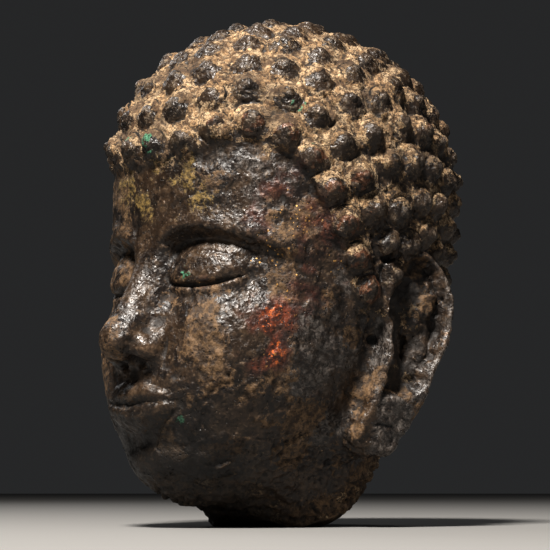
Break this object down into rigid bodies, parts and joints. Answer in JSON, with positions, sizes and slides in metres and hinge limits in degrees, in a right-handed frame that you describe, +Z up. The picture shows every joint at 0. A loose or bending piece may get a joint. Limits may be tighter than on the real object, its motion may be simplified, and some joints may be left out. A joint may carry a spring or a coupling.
{
  "type": "buddha head sculpture",
  "caption": "Cast bronze head of the Buddha with rows of snail-shell curls and long ears, broken off below the chin, standing on the flat of its broken neck.",
  "frame": {"origin": "on the floor, under the middle of the part's box; the flat of the broken neck lies in the plane z = 0", "axes": "+Z up, the face looks to -Y, the head's own left ear is on the +X side"},
  "size_m": [0.1384, 0.1656, 0.2003],
  "materials": {
    "patinated_bronze": "old cast bronze: dark brown patina and worn lacquer, buff earth between the curls, traces of red lacquer, gilding and green corrosion"
  },
  "bodies": {
    "root": {"head": "patinated_bronze"}
  },
  "joints": []
}
